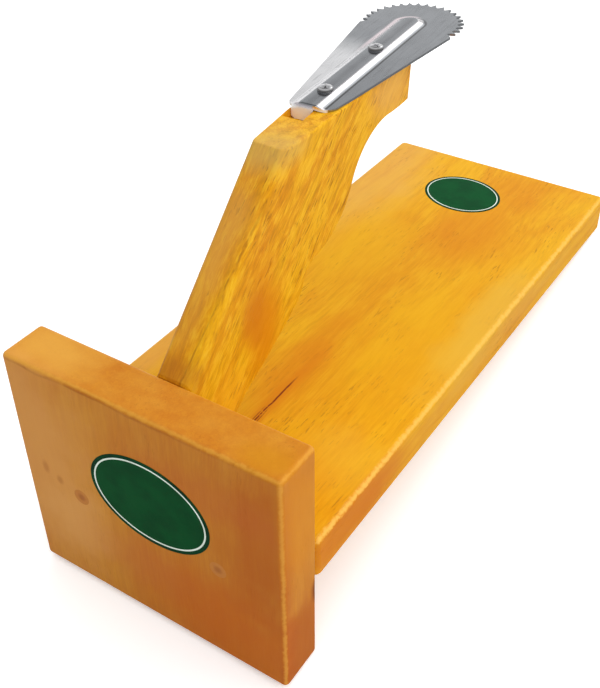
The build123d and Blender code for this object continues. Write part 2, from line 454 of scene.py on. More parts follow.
def wood_grain_group():
    """Growth rings, streaks, fibres, pores and blotches of a plain sawn board."""
    tree, wiring, given, result = new_group(
        "wood_grain",
        [("Grain", "vector")]
        + [(label, "colour") for label in ("Pale", "Deep", "Dark", "Light")]
        + [(label.capitalize(), "number") for label in GRAIN_PARTS],
        [("Color", "colour"), ("Height", "number"), ("Gloss", "number")],
    )
    sway = wiring.times(wiring.minus(wiring.noise(given["Grain"], 11.0), 0.5), GRAIN_SWAY)
    bent = wiring.vector("ADD", given["Grain"], wiring.join(0.0, sway, sway))
    drawn = wiring.stretch(bent, wiring.join(given["Stretch"], 1.0, 1.0))

    blotch_place = wiring.stretch(given["Grain"], (0.5, 1.0, 1.0))
    wide = wiring.noise(blotch_place, 21.0, 2.0, 0.5)
    small = wiring.noise(blotch_place, 75.0, 3.0, 0.6)
    both = wiring.plus(wiring.times(wide, 0.65), wiring.times(small, 0.35))
    blotch = wiring.times(wiring.ramp(both, 0.4, 0.62), given["Blotches"])

    rings = wiring.node("ShaderNodeTexWave", wave_type="RINGS", rings_direction="X")
    wiring.put(rings.inputs["Vector"], wiring.stretch(bent, (0.12, 1.0, 1.0)))
    for label, value in RING_SETTINGS.items():
        rings.inputs[label].default_value = value
    ring = wiring.times(wiring.ramp(rings.outputs["Fac"], 0.3, 1.0), given["Rings"])

    streak = wiring.noise(drawn, given["Streaks"], 4.0, 0.62, 0.4)
    fine = wiring.noise(wiring.stretch(drawn, (0.5, 1.0, 1.0)), 1300.0, 3.0, 0.6)
    fibre = wiring.plus(wiring.times(streak, 0.6), wiring.times(fine, 0.4))
    dark_fibre = wiring.times(wiring.ramp(fibre, 0.48, 0.66), given["Fibres"])
    light_fibre = wiring.times(wiring.ramp(fibre, 0.52, 0.38), given["Figure"])

    pore_place = wiring.stretch(bent, (0.13, 1.0, 1.0))
    pore_mask = wiring.ramp(wiring.noise(pore_place, 1000.0, 2.0, 0.55), 0.59, 0.68)
    pore_area = wiring.ramp(wiring.noise(blotch_place, 46.0, 2.0), 0.44, 0.6)
    pore = wiring.times(pore_mask, pore_area, given["Pores"])

    colour = wiring.layered(
        given["Pale"],
        (blotch, given["Deep"]),
        (ring, given["Deep"]),
        (light_fibre, given["Light"]),
        (dark_fibre, given["Dark"]),
        (pore, given["Dark"]),
    )
    wiring.put(result["Color"], colour)

    relief = wiring.minus(wiring.minus(1.0, fibre), wiring.times(pore, 0.8))
    wiring.put(result["Height"], relief)
    wiring.put(result["Gloss"], wiring.minus(1.0, wiring.larger(pore, dark_fibre)))
    return tree


def edge_sheen_and_wear_group():
    """A mask along the edges of a box, broken up by noise: where edges are worn paler and a
    highlight is painted.
    """
    tree, wiring, given, result = new_group(
        "edge_wear",
        [("Place", "vector"), ("Centre", "vector"), ("Half", "vector")]
        + [("Width", "number"), ("Broken", "number")],
        [("Mask", "number")],
    )
    offset = wiring.vector("ABSOLUTE", wiring.offset(given["Place"], given["Centre"]))
    x, y, z = wiring.split(wiring.offset(given["Half"], offset))
    second = wiring.larger(wiring.smaller(x, y), wiring.smaller(wiring.larger(x, y), z))
    near = wiring.over(second, given["Width"])
    rough = wiring.minus(wiring.noise(given["Place"], 420.0, 3.0, 0.6), 0.5)
    near = wiring.plus(near, wiring.times(rough, given["Broken"]))
    wiring.put(result["Mask"], wiring.ramp(near, 1.0, 0.35))
    return tree


def soft_patch_group():
    """A soft round patch with an uneven edge, for a stained, worn or paler area, and for painted
    shade and painted reflection.
    """
    tree, wiring, given, result = new_group(
        "soft_patch",
        [("Place", "vector"), ("Centre", "vector"), ("Size", "vector"), ("Strength", "number")],
        [("Mask", "number")],
    )
    offset = wiring.offset(given["Place"], given["Centre"])
    share = wiring.vector("DIVIDE", offset, given["Size"])
    uneven = wiring.minus(wiring.noise(given["Place"], 38.0, 3.0, 0.55), 0.5)
    reach = wiring.plus(wiring.length(share), wiring.times(uneven, 0.9))
    wiring.put(result["Mask"], wiring.times(wiring.ramp(reach, 1.15, 0.25), given["Strength"]))
    return tree


def handling_marks_group():
    """Fine scratches and smudges on metal and film, as an uneven gloss and a faint relief."""
    tree, wiring, given, result = new_group(
        "handling_marks",
        [("Place", "vector"), ("Stretch", "vector"), ("Low", "number"), ("High", "number")],
        [("Roughness", "number"), ("Height", "number"), ("Marks", "number")],
    )
    drawn = wiring.stretch(given["Place"], given["Stretch"])
    lines = wiring.noise(drawn, 700.0, 4.0, 0.65)
    smudge = wiring.noise(given["Place"], 70.0, 3.0, 0.55)
    both = wiring.plus(wiring.times(lines, 0.5), wiring.times(smudge, 0.5))
    span = wiring.minus(given["High"], given["Low"])
    level = wiring.ramp(both, 0.35, 0.65)
    wiring.put(result["Roughness"], wiring.plus(given["Low"], wiring.times(level, span)))
    wiring.put(result["Height"], lines)
    wiring.put(result["Marks"], wiring.ramp(lines, 0.56, 0.7))
    return tree


GROUP_MAKERS = {
    "grain_frame": grain_frame_group,
    "wood_grain": wood_grain_group,
    "edge_wear": edge_sheen_and_wear_group,
    "soft_patch": soft_patch_group,
    "handling_marks": handling_marks_group,
}


def effect(name):
    """A shared effect, built the first time it is asked for."""
    return bpy.data.node_groups.get(name) or GROUP_MAKERS[name]()


def new_material(name):
    """An empty node material: its wiring, its shader and the object's own coordinates."""
    material = bpy.data.materials.new(name)
    material.use_nodes = True
    material.node_tree.nodes.clear()
    wiring = Wiring(material.node_tree)
    shader = wiring.node("ShaderNodeBsdfPrincipled")
    output = wiring.node("ShaderNodeOutputMaterial")
    wiring.put(output.inputs["Surface"], shader.outputs[0])
    place = wiring.node("ShaderNodeTexCoord").outputs["Object"]
    return material, wiring, shader, place


def add_relief(wiring, shader, height, depth, strength=1.0):
    """Feeds a height into the shader's normal, in metres of depth."""
    bump = wiring.node("ShaderNodeBump")
    bump.inputs["Strength"].default_value = strength
    bump.inputs["Distance"].default_value = depth
    wiring.put(bump.inputs["Height"], height)
    wiring.put(shader.inputs["Normal"], bump.outputs[0])


def handled(wiring, place, stretch, low, high):
    """The marks of handling, on a surface whose roughness goes from low to high."""
    marks = effect("handling_marks")
    return wiring.group(marks, place=place, stretch=stretch, low=low, high=high)


def give_material(names, material):
    """Puts a material on CAD nodes."""
    for name in names:
        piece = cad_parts[name]
        piece.data.materials.clear()
        piece.data.materials.append(material)


# ---------------------------------------------------------------- wood


# What each board takes for GRAIN_PARTS
PLANK_GRAIN = (0.4, 0.2, 0.16, 0.2, 0.11, 380.0, 0.5)
STOP_GRAIN = (0.5, 0.14, 0.1, 0.07, 0.1, 420.0, 0.25)
NECK_GRAIN = (0.45, 0.35, 0.42, 0.6, 0.26, 230.0, 0.7)

# Stained, worn and paler areas, with some painted shade and a painted reflection as marked, each
# laid
# over those before it: a colour, either one that a user may change or in screen values, then centre
# and size in millimetres, and strength
PLANK_PATCHES = (
    # Painted reflection: the pale studio washed over the far left of the plank's top
    ("tan", (-66, 296, 22), (40, 110, 30), 0.7),
    ("orange", (20, 262, 22), (40, 48, 30), 0.7),
    ("orange", (26, 322, 22), (26, 30, 30), 0.5),
    ("yellow", (50, 150, 22), (46, 90, 30), 0.7),
    ("yellow", (-30, 215, 22), (36, 60, 30), 0.7),
    ("orange", (2, 104, 22), (15, 56, 30), 0.7),
    (srgb(224, 177, 62), (68, 180, 22), (16, 80, 10), 0.75),
    (srgb(228, 174, 46), (56, 50, 22), (26, 30, 10), 0.6),
    (srgb(226, 166, 76), (-72, 70, 22), (18, 60, 10), 0.9),
    ("orange", (22, 30, 22), (60, 24, 30), 0.4),
    # Painted shade: the plank's right side is deeper orange near the stop board
    (srgb(206, 110, 0), (75, 26, 13), (3, 62, 22), 1.0),
    ("tan", (75, 200, 11), (2, 120, 8), 0.3),
)
STOP_PATCHES = (
    (srgb(218, 152, 74), (-70, -25, 24), (50, 12, 96), 1.0),
    (srgb(196, 96, 0), (52, -25, -34), (72, 12, 52), 1.0),
    (srgb(184, 90, 0), (66, -25, 30), (30, 10, 60), 0.9),
    (srgb(194, 98, 32), (30, -25, 50), (60, 10, 16), 0.5),
    (srgb(196, 108, 40), (-10, -25, -16), (34, 10, 22), 0.5),
    (srgb(226, 164, 90), (-45, -25, -12), (26, 10, 28), 0.5),
    (srgb(158, 78, 16), (-52.8, -25, 12.5), (2.6, 6, 3.4), 0.5),
    (srgb(160, 72, 16), (-61, -25, 17), (2.4, 6, 5), 0.45),
    (srgb(224, 164, 66), (-55, -12, 80), (36, 18, 5), 0.9),
    (srgb(204, 136, 16), (64, -17, 80), (16, 12, 4), 0.8),
    (srgb(212, 132, 10), (75, -12, 50), (5, 18, 52), 0.8),
    # Painted shade: the lower part of the end face is darker
    (srgb(174, 82, 0), (75, -10, -38), (5, 26, 56), 0.95),
    # Painted shadow under the plank, at the end face's back edge
    (srgb(96, 28, 4), (75, -1, -6), (4, 4.5, 9), 1.0),
)
NECK_PATCHES = (
    (srgb(204, 168, 88), (0, 74, 158), (20, 30, 12), 0.8),
    (srgb(214, 154, 66), (-2, 46, 124), (13, 34, 46), 0.85),
    (srgb(206, 142, 52), (-4, 18, 98), (12, 22, 26), 0.7),
    (srgb(226, 168, 84), (12, 168, 152), (7, 24, 16), 0.8),
    ("orange", (12, 54, 80), (7, 16, 44), 1.0),
    (srgb(206, 118, 8), (12, 46, 92), (4, 12, 22), 0.9),
    # Painted shade: darker at the neck's front foot, where it meets the stop board
    (srgb(178, 104, 24), (2, 4, 82), (14, 11, 12), 0.8),
    (srgb(246, 176, 34), (12, 26, 56), (5, 16, 18), 0.6),
)

# The most that a patch covers of the grain, and the roughness inside the pores and between them
PATCH_COVER = 0.78
PORE_ROUGHNESS = 0.66
WOOD_ROUGHNESS = 0.42

# Where the plank's crack starts, the height of the dark line on the stop board, and how far the
# neck's front line is from the middle at its foot, in millimetres
CRACK_X = 6.8
CRACK_Y = 44.0
DARK_LINE_Z = 78.2
FRONT_LINE_X = 6.2

# Where the plank screws' fillers are, each side of the middle, in millimetres
FILLER_X = 40.0
FILLER_Z = 8.0


def in_metres(place):
    """A place or size given in millimetres."""
    return tuple(value * MM for value in place)


def add_varnish(shader, specular, roughness):
    """Clear varnish with its own roughness, over a surface that shines a little."""
    shader.inputs["Specular IOR Level"].default_value = specular
    shader.inputs["Coat Weight"].default_value = bpy.context.scene.scraper_finishes.varnish
    shader.inputs["Coat Roughness"].default_value = roughness


def wood_material(name, run, tones, grain, patches, wear=None, relief=0.12):
    """Varnished wood, and its colour for the caller to finish and put on.

    run is the grain's direction, one across it, and the heart of its rings. tones are the pale
    and deep wood. Each patch is a colour, centre, size and strength, and the last argument, for the
    edges, is a centre, half size, width, breaking up, colour and strength: paler worn edges with a
    painted highlight.
    """
    finishes = bpy.context.scene.scraper_finishes
    material, wiring, shader, place = new_material(name)
    along, across, heart = run
    turned = wiring.group(
        effect("grain_frame"), place=place, along=along, across=across, heart=heart
    )
    board = wiring.group(
        effect("wood_grain"),
        grain=turned.outputs[0],
        pale=tuple(getattr(finishes, tones[0])),
        deep=tuple(getattr(finishes, tones[1])),
        dark=tuple(finishes.brown),
        light=tuple(finishes.gold),
        **dict(zip(GRAIN_PARTS, grain)),
    )
    colour = board.outputs["Color"]
    for tint, centre, size, strength in patches:
        if isinstance(tint, str):
            tint = tuple(getattr(finishes, tint))
        patch = wiring.group(
            effect("soft_patch"),
            place=place,
            centre=in_metres(centre),
            size=in_metres(size),
            strength=strength,
        )
        colour = wiring.mix(patch.outputs[0], colour, wiring.mix(PATCH_COVER, colour, tint))
    if wear:
        centre, half, width, broken, tint, strength = wear
        edge = wiring.group(
            effect("edge_wear"),
            place=place,
            centre=tuple(centre),
            half=tuple(half),
            width=width * MM,
            broken=broken,
        )
        colour = wiring.mix(wiring.times(edge.outputs[0], strength), colour, tint)
    roughness = wiring.ramp(board.outputs["Gloss"], 0.0, 1.0, PORE_ROUGHNESS, WOOD_ROUGHNESS)
    wiring.put(shader.inputs["Roughness"], roughness)
    add_varnish(shader, 0.1, 0.18)
    add_relief(wiring, shader, board.outputs["Height"], relief * MM, 0.8)
    return material, wiring, shader, place, colour


# ---------------------------------------------------------------- operators


class SCRAPER_OT_finish_plank(bpy.types.Operator):
    """Varnishes the plank, with the dark line in its grain"""

    bl_idname = "scraper.finish_plank"
    bl_label = "Finish plank"

    def execute(self, context):
        finishes = context.scene.scraper_finishes
        # Only the upper edges are paler with wear and a painted highlight, and not where the plank
        # meets the stop board
        beyond = Vector((0.0, 0.1, 0.1))
        middle = (PLANK_HIGH + PLANK_LOW) / 2 - beyond
        half = (PLANK_HIGH - PLANK_LOW) / 2 + beyond
        material, wiring, shader, place, colour = wood_material(
            "plank_varnish",
            run=((0.0, 1.0, 0.0), (1.0, 0.0, 0.0), (0.028, 0.0, -0.11)),
            tones=("yellow", "orange"),
            grain=PLANK_GRAIN,
            patches=PLANK_PATCHES,
            # Paler worn upper edges, with a painted highlight along them
            wear=(middle, half, 2.6, 1.5, srgb(242, 188, 84), 0.85),
        )
        crack, halo = tuple(finishes.crack), tuple(finishes.orange)
        colour = self.add_crack(wiring, place, colour, crack, halo)
        wiring.put(shader.inputs["Base Color"], colour)
        give_material(["base_plank"], material)
        return {"FINISHED"}

    @staticmethod
    def add_crack(wiring, place, colour, dark, halo_colour):
        """A dark split along the grain, which fades into a faint smear."""
        x, y, _ = wiring.split(wiring.stretch(place, PER_MM))
        wander = wiring.wander(place, 90.0, 1.6)
        aside = wiring.size(wiring.minus(wiring.minus(x, CRACK_X), wander))
        start = wiring.ramp(y, CRACK_Y, CRACK_Y + 6.0)
        broken = wiring.ramp(wiring.noise(place, 300.0, 2.0), 0.28, 0.42, 0.35, 1.0)
        line = wiring.times(wiring.ramp(aside, 0.7, 0.2), wiring.ramp(y, 92.0, 80.0))
        twin = wiring.times(wiring.band(aside, 1.3, 0.5, 0.1), wiring.ramp(y, 64.0, 56.0, 0.0, 0.7))
        line = wiring.times(wiring.larger(line, twin), start, broken)
        halo = wiring.times(wiring.ramp(aside, 6.0, 0.0), wiring.ramp(y, 140.0, 85.0), start, 0.7)
        return wiring.mix(line, wiring.mix(halo, colour, halo_colour), dark)


class SCRAPER_OT_finish_stop_board(bpy.types.Operator):
    """Varnishes the stop board, with a broken dark line under its top edge, which is worn paler and
    has a painted highlight
    """

    bl_idname = "scraper.finish_stop_board"
    bl_label = "Finish stop board"

    def execute(self, context):
        middle = (STOP_HIGH + STOP_LOW) / 2
        half = (STOP_HIGH - STOP_LOW) / 2
        material, wiring, shader, place, colour = wood_material(
            "stop_board_varnish",
            run=((0.0, 0.0, 1.0), (1.0, 0.0, 0.0), (-0.03, 0.09, 0.0)),
            tones=("honey", "ochre"),
            grain=STOP_GRAIN,
            patches=STOP_PATCHES,
            # Paler worn edges, with a painted highlight along the right end
            wear=(middle, half, 2.0, 1.1, srgb(226, 162, 60), 0.6),
            relief=0.08,
        )
        colour = self.add_grime(wiring, place, colour, srgb(160, 80, 10))
        wiring.put(shader.inputs["Base Color"], colour)
        give_material(["stop_board"], material)
        return {"FINISHED"}

    @staticmethod
    def add_grime(wiring, place, colour, dark):
        """A broken dark line on the front face, just under the top edge."""
        x, y, z = wiring.split(wiring.stretch(place, PER_MM))
        level = wiring.plus(z, wiring.wander(place, 55.0, 4.0))
        line = wiring.times(
            wiring.band(level, DARK_LINE_Z, 1.3, 0.1),
            wiring.ramp(y, -23.8, -24.8),
            wiring.ramp(x, 60.0, -20.0, 0.1, 0.6),
            wiring.ramp(wiring.noise(place, 120.0, 3.0), 0.35, 0.6, 0.4, 1.0),
        )
        return wiring.mix(line, colour, dark)


class SCRAPER_OT_finish_neck(bpy.types.Operator):
    """Varnishes the neck, whose coarse grain runs along its lean"""

    bl_idname = "scraper.finish_neck"
    bl_label = "Finish neck"

    def execute(self, context):
        lean = tuple((NECK_SHOULDER - NECK_FOOT).normalized())
        material, wiring, shader, place, colour = wood_material(
            "neck_varnish",
            run=(lean, (1.0, 0.0, 0.0), (-0.045, 0.06, 0.05)),
            tones=("yellow", "orange"),
            grain=NECK_GRAIN,
            patches=NECK_PATCHES,
            relief=0.25,
        )
        brown = tuple(context.scene.scraper_finishes.brown)
        colour = self.add_front_line(wiring, place, colour, lean, brown)
        wiring.put(shader.inputs["Base Color"], colour)
        give_material(["neck"], material)
        return {"FINISHED"}

    @staticmethod
    def add_front_line(wiring, place, colour, lean, dark):
        """A dark grain line up the lower front, near its right edge."""
        rise = wiring.stretch(wiring.offset(place, tuple(NECK_FOOT)), PER_MM)
        up = wiring.dot(rise, lean)
        x, y, _ = wiring.split(rise)
        drift = wiring.plus(wiring.times(up, 0.06), FRONT_LINE_X)
        middle = wiring.plus(drift, wiring.wander(place, 90.0, 2.2))
        line = wiring.times(
            wiring.band(x, middle, 0.7, 0.1),
            wiring.ramp(up, 100.0, 60.0, 0.0, 0.6),
            wiring.ramp(wiring.noise(place, 160.0, 3.0), 0.35, 0.6, 0.25, 1.0),
            wiring.ramp(wiring.minus(y, wiring.times(up, lean[1])), 6.0, 3.0),
        )
        return wiring.mix(line, colour, dark)


class SCRAPER_OT_finish_fillers(bpy.types.Operator):
    """Gives the filled screw holes their wood filler, a little darker than the board"""

    bl_idname = "scraper.finish_fillers"
    bl_label = "Finish fillers"

    def execute(self, context):
        finishes = context.scene.scraper_finishes
        material, wiring, shader, place = new_material("wood_filler")
        mottle = wiring.ramp(wiring.noise(place, 320.0, 3.0, 0.6), 0.35, 0.65)
        colour = wiring.mix(mottle, tuple(finishes.putty), srgb(200, 128, 50))
        # The middles of the two that show are darker
        x, _, z = wiring.split(wiring.offset(wiring.stretch(place, PER_MM), (0.0, 0.0, FILLER_Z)))
        spread = wiring.join(wiring.minus(wiring.size(x), FILLER_X), z)
        centre = wiring.ramp(wiring.length(spread), 3.2, 0.6, 0.0, 0.55)
        colour = wiring.mix(centre, colour, srgb(150, 74, 16))
        wiring.put(shader.inputs["Base Color"], colour)
        wiring.put(shader.inputs["Roughness"], wiring.ramp(mottle, 0.0, 1.0, 0.5, 0.65))
        add_varnish(shader, 0.2, 0.2)
        add_relief(wiring, shader, mottle, 0.06 * MM, 0.6)
        give_material(["plank_screw_fillers", "neck_screw_fillers"], material)
        return {"FINISHED"}


# The rib, in millimetres: its axis ends this far from the head's centre, and these are the
# distances from the axis of its crown's edge, its flank, its foot and the crease round it
RIB_END = -2.4
RIB_CROWN = 5.0
RIB_FLANK = 5.3
RIB_FOOT = 7.8
RIB_CREASE = 8.1

# Along the blade from its head's centre, in millimetres, where each of these starts and is whole:
# the painted dark reflection on the head, the painted glint left of the rib, and the painted
# highlight on the tail's bend and its lip
HEAD_ALONG = (-56.0, -26.0)
GLINT_ALONG = (-50.0, -30.0)
BEND_ALONG = (-108.2, -109.2)
LIP_ALONG = (-108.3, -109.3)


class SCRAPER_OT_finish_blade(bpy.types.Operator):
    """Gives the blade its rolled steel, with a painted dark reflection on the rib, head and right
    flat, painted highlights beside the rib and at the tail, and painted shade in its creases
    """

    bl_idname = "scraper.finish_blade"
    bl_label = "Finish blade"

    def execute(self, context):
        finishes = context.scene.scraper_finishes
        material, wiring, shader, place = new_material("rolled_blade")
        turned = wiring.group(
            effect("grain_frame"),
            place=place,
            along=tuple(BLADE_ALONG),
            across=tuple(BLADE_ACROSS),
            heart=tuple(BLADE_HEAD + BLADE_ACROSS * RIB_ASIDE),
        ).outputs[0]
        marks = handled(wiring, turned, (0.08, 1.0, 1.0), 0.17, 0.28)
        along, across, under = wiring.split(wiring.stretch(turned, PER_MM))
        height = wiring.times(under, -1.0)
        beyond = wiring.larger(wiring.minus(along, RIB_END), 0.0)
        off = wiring.length(wiring.join(across, beyond))
        side = wiring.over(across, wiring.larger(off, 0.1))

        # Painted dark reflection: the head, the right flat and the rib's crown take a darker steel
        head = wiring.ramp(along, *HEAD_ALONG)
        right = wiring.ramp(across, 0.0, 3.0)
        crown = wiring.ramp(off, RIB_CROWN, 4.2)
        dark_reflection = wiring.larger(wiring.larger(head, right), crown)
        glint = wiring.times(
            wiring.band(off, RIB_FOOT, 2.4, 0.8),
            wiring.ramp(side, 0.4, -0.3),
            wiring.ramp(along, *GLINT_ALONG),
        )
        # Painted highlight: a near-white band on the rib's right side
        flank_highlight = wiring.times(wiring.band(off, RIB_FLANK, 1.8, 1.0), wiring.ramp(side, 0.1, 0.6))
        # Painted shade: a dark line in the fold along the rib's right foot
        crease_shade = wiring.times(
            wiring.band(off, RIB_CREASE, 0.9, 0.2, 0.6),
            wiring.ramp(side, 0.2, 0.6),
        )
        # Painted highlight where the tail turns down, and its turned-down end painted as a pale
        # non-metal that stands in for a reflection
        bend_highlight = wiring.times(wiring.ramp(height, 2.8, 1.8), wiring.ramp(along, *BEND_ALONG))
        lip_sheen = wiring.times(wiring.ramp(height, 2.2, 0.4), wiring.ramp(along, *LIP_ALONG))

        colour = wiring.layered(
            tuple(finishes.blade),
            (dark_reflection, tuple(finishes.worn_blade)),
            # Painted dark reflection down the middle of the rib's crown
            (wiring.ramp(off, 3.4, 0.0, 0.0, 0.4), srgb(120, 120, 124)),
            (glint, srgb(255, 240, 244)),
            (flank_highlight, srgb(255, 252, 254)),
            (crease_shade, tuple(finishes.grime)),
            (wiring.times(marks.outputs["Marks"], 0.25), srgb(130, 132, 136)),
            (bend_highlight, srgb(236, 228, 234)),
            (lip_sheen, srgb(252, 255, 255)),
        )
        roughness = wiring.plus(marks.outputs["Roughness"], wiring.times(lip_sheen, 0.3))
        wiring.put(shader.inputs["Base Color"], colour)
        wiring.put(shader.inputs["Roughness"], roughness)
        wiring.put(shader.inputs["Metallic"], wiring.ramp(lip_sheen, 0.0, 1.0, 1.0, 0.1))
        add_relief(wiring, shader, marks.outputs["Height"], 0.012 * MM, 0.4)
        give_material(["scraper_blade"], material)
        return {"FINISHED"}


def screw_steel():
    """Bright plated steel, with painted shade round the sides of the heads and in their recesses.
    """
    found = bpy.data.materials.get("plated_screws")
    if found:
        return found
    finishes = bpy.context.scene.scraper_finishes
    material, wiring, shader, place = new_material("plated_screws")
    marks = handled(wiring, place, (1.0, 1.0, 0.2), 0.16, 0.3)
    crown = tuple(BLADE_HEAD + BLADE_UP * BLADE_CROWN)
    rise = wiring.dot(wiring.stretch(wiring.offset(place, crown), PER_MM), tuple(BLADE_UP))
    # Painted shade on the heads' sides and in their recesses, from just above the rib's crown to
    # below the head's top
    low = wiring.times(wiring.ramp(rise, 1.6, 1.1), wiring.ramp(rise, 0.1, 0.5), 0.8)
    scratched = wiring.times(marks.outputs["Marks"], 0.5)
    colour = wiring.mix(scratched, tuple(finishes.screw), srgb(140, 138, 134))
    wiring.put(shader.inputs["Base Color"], wiring.mix(low, colour, tuple(finishes.grime)))
    wiring.put(shader.inputs["Roughness"], marks.outputs["Roughness"])
    shader.inputs["Metallic"].default_value = 1.0
    add_relief(wiring, shader, marks.outputs["Height"], 0.01 * MM, 0.4)
    return material


def ring_of(work, points):
    """New corners at the points."""
    return [work.verts.new(point) for point in points]


def bridge(work, low, high):
    """Faces between two rings of corners, where a ring of one corner is a tip."""
    steps = max(len(low), len(high))
    for step in range(steps):
        following = (step + 1) % steps
        corners = (
            low[step % len(low)],
            low[following % len(low)],
            high[following % len(high)],
            high[step % len(high)],
        )
        work.faces.new(tuple(dict.fromkeys(corners)))


def finished_mesh(work, name, matrix):
    """The mesh that was worked on, put in its place."""
    mesh = bpy.data.meshes.new(name)
    bmesh.ops.recalc_face_normals(work, faces=work.faces)
    bmesh.ops.transform(work, matrix=matrix, verts=work.verts)
    work.to_mesh(mesh)
    work.free()
    return mesh


def oval(steps, across, along, height):
    """Points round an oval at a height."""
    turns = [2 * math.pi * step / steps for step in range(steps)]
    return [(across * math.cos(turn), along * math.sin(turn), height) for turn in turns]


def lathe(profile, steps, matrix, name):
    """A closed mesh turned from a profile of (radius, height), whose ends are on the axis."""
    work = bmesh.new()
    rings = [
        ring_of(work, oval(steps if radius else 1, radius, radius, height))
        for radius, height in profile
    ]
    for low, high in zip(rings, rings[1:]):
        bridge(work, low, high)
    return finished_mesh(work, name, matrix)


def linked_object(name, mesh):
    """An object for a mesh, in the scene."""
    made = bpy.data.objects.new(name, mesh)
    bpy.context.scene.collection.objects.link(made)
    return made


def applied(piece):
    """Replaces a piece's mesh by what its modifiers make of it."""
    bpy.context.view_layer.update()
    graph = bpy.context.evaluated_depsgraph_get()
    result = bpy.data.meshes.new_from_object(piece.evaluated_get(graph))
    piece.modifiers.clear()
    piece.data = result


def smooth_by_angle(mesh, degrees):
    """Smooth shading, with edges sharper than an angle kept crisp."""
    mesh.polygons.foreach_set("use_smooth", [True] * len(mesh.polygons))
    mesh.set_sharp_from_angle(angle=math.radians(degrees))
    mesh.update()


# The screw's point, the small edges of its head, and the steps round its head and up its dome
POINT_RADIUS = 0.3 * MM
POINT_LENGTH = 3.2 * MM
HEAD_EDGE = 0.15 * MM
HEAD_STEPS = 48
DOME_STEPS = 6

# Shares of the head's height: its straight rim, and the dome above that. DOME_FLAT is the share of
# its radius where the dome ends, and the top's last rise starts at TOP_RADIUS and TOP_HEIGHT
RIM_HEIGHT = 0.28
DOME_HEIGHT = 0.66
DOME_FLAT = 0.56
TOP_RADIUS = 0.3
TOP_HEIGHT = 0.985


class SCRAPER_OT_make_blade_screws(bpy.types.Operator):
    """Makes the two pan head screws that hold the blade, with their cross recesses"""

    bl_idname = "scraper.make_blade_screws"
    bl_label = "Make blade screws"

    def execute(self, context):
        screws = context.scene.scraper_screws
        for number, (place, turn) in enumerate(SCREW_PLACES, 1):
            piece = self.make_screw(screws, number, place, turn)
            piece.data.materials.append(screw_steel())
            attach(piece, BODY)
            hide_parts("blade_screws")
        return {"FINISHED"}

    def make_screw(self, screws, number, place, turn):
        """One screw, standing on the rib's crown."""
        head = screws.head_radius
        height = screws.head_height
        shank = screws.shank_radius
        length = screws.shank_length
        rim = RIM_HEIGHT * height
        profile = [(0.0, -length), (POINT_RADIUS, -length), (shank, POINT_LENGTH - length)]
        profile += [(shank, 0.0), (head - HEAD_EDGE, 0.0), (head, HEAD_EDGE), (head, rim)]
        for step in range(1, DOME_STEPS + 1):
            angle = math.radians(90 * step / DOME_STEPS)
            radius = head * (DOME_FLAT + (1 - DOME_FLAT) * math.cos(angle))
            profile.append((radius, rim + DOME_HEIGHT * height * math.sin(angle)))
        profile += [(TOP_RADIUS * head, TOP_HEIGHT * height), (0.0, height)]
        axes = Matrix((BLADE_ACROSS, BLADE_ALONG, BLADE_UP)).transposed().to_4x4()
        origin = BLADE_HEAD + BLADE_ALONG * place + BLADE_UP * BLADE_CROWN
        stand = Matrix.Translation(origin) @ axes @ Matrix.Rotation(math.radians(turn), 4, "Z")
        name = f"blade_screw_{number}"
        piece = linked_object(name, lathe(profile, HEAD_STEPS, stand, name))
        cutter = linked_object("recess", self.recess(screws, stand))
        cut = piece.modifiers.new("recess", "BOOLEAN")
        cut.object = cutter
        cut.operation = "DIFFERENCE"
        cut.solver = "EXACT"
        applied(piece)
        bpy.data.objects.remove(cutter)
        smooth_by_angle(piece.data, 35)
        return piece

    @staticmethod
    def recess(screws, stand):
        """The cross recess as a solid, wide above the head and narrow at its floor."""
        span = screws.recess_span / 2
        wide = screws.recess_width / 2
        outline = [
            Matrix.Rotation(math.radians(90 * quarter), 2, "Z") @ Vector(corner)
            for quarter in range(4)
            for corner in ((span, wide), (wide, wide), (wide, span))
        ]
        work = bmesh.new()
        top, bottom = (
            ring_of(work, [(p.x * share, p.y * share, level) for p in outline])
            for level, share in (
                (screws.head_height + 0.5 * MM, 1.12),
                (screws.head_height - screws.recess_depth, 0.55),
            )
        )
        work.faces.new(top)
        work.faces.new(reversed(bottom))
        bridge(work, bottom, top)
        return finished_mesh(work, "recess", stand)


class SCRAPER_OT_finish_hidden_screws(bpy.types.Operator):
    """Gives the sunk screws behind the fillers their steel"""

    bl_idname = "scraper.finish_hidden_screws"
    bl_label = "Finish hidden screws"

    def execute(self, context):
        give_material(["plank_screws", "neck_screws"], screw_steel())
        return {"FINISHED"}


def film_material(name, colour, deeper):
    """Printed film with a soft gloss."""
    material, wiring, shader, place = new_material(name)
    marks = handled(wiring, place, (1.0, 1.0, 1.0), 0.28, 0.42)
    fade = wiring.ramp(wiring.noise(place, 90.0, 3.0, 0.5), 0.35, 0.7)
    wiring.put(shader.inputs["Base Color"], wiring.mix(fade, colour, deeper))
    wiring.put(shader.inputs["Roughness"], marks.outputs["Roughness"])
    shader.inputs["Specular IOR Level"].default_value = 0.06
    add_relief(wiring, shader, marks.outputs["Height"], 0.01 * MM, 0.3)
    return material


